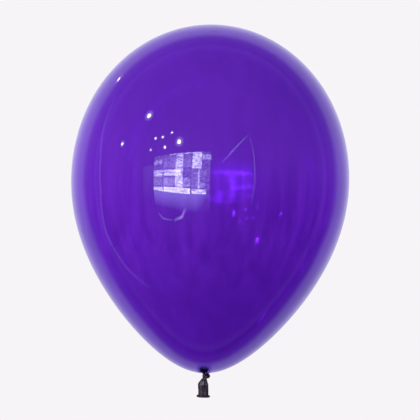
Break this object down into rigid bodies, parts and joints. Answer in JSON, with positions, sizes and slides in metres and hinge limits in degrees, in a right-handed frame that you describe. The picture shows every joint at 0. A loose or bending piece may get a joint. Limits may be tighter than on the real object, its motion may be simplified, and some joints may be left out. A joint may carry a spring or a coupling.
{
  "type": "latex party balloon",
  "caption": "Blown-up, tied latex balloon: a clear tinted egg-shaped film, gathered neck, overhand knot and short open tail with a rolled lip.",
  "frame": {"origin": "the film's lowest point, on the balloon's long axis, where the gathered neck leaves it", "axes": "+Z along the long axis from the neck up to the crown; -Y out of the front flat side of the tail; X along the tail's width"},
  "size_m": [0.29, 0.29, 0.3919],
  "materials": {
    "film": "clear tinted gloss",
    "thick_rubber": "soft gloss"
  },
  "bodies": {
    "film": {"envelope_film": "film"},
    "throat": {"throat_collar": "thick_rubber"},
    "neck": {"neck_stem": "thick_rubber"},
    "knot": {"knot_core": "thick_rubber", "knot_loop": "thick_rubber"},
    "tail_root": {"tail_pinch": "thick_rubber"},
    "tail": {"tail_tube": "thick_rubber", "rolled_lip": "thick_rubber"}
  },
  "joints": [
    {"name": "neck_twist", "type": "hinge", "parent": "film", "child": "throat", "pos_m": [0, 0, 0], "axis": [0, 0, 1], "range_deg": [-90, 90], "stiffness_Nm_per_rad": 0.0002},
    {"name": "knot_nod", "type": "hinge", "parent": "throat", "child": "neck", "pos_m": [0, 0, 0], "axis": [1, 0, 0], "range_deg": [-15, 15], "stiffness_Nm_per_rad": 0.0002},
    {"name": "knot_tilt", "type": "hinge", "parent": "neck", "child": "knot", "pos_m": [0, 0, -0.0019], "axis": [0, 1, 0], "range_deg": [-15, 15], "stiffness_Nm_per_rad": 0.0002},
    {"name": "tail_sway", "type": "hinge", "parent": "knot", "child": "tail_root", "pos_m": [0, 0, -0.0086], "axis": [0, 1, 0], "range_deg": [-20, 20], "stiffness_Nm_per_rad": 0.0002},
    {"name": "tail_flop", "type": "hinge", "parent": "tail_root", "child": "tail", "pos_m": [0, 0, -0.0108], "axis": [1, 0, 0], "range_deg": [-60, 60], "stiffness_Nm_per_rad": 0.0001}
  ]
}
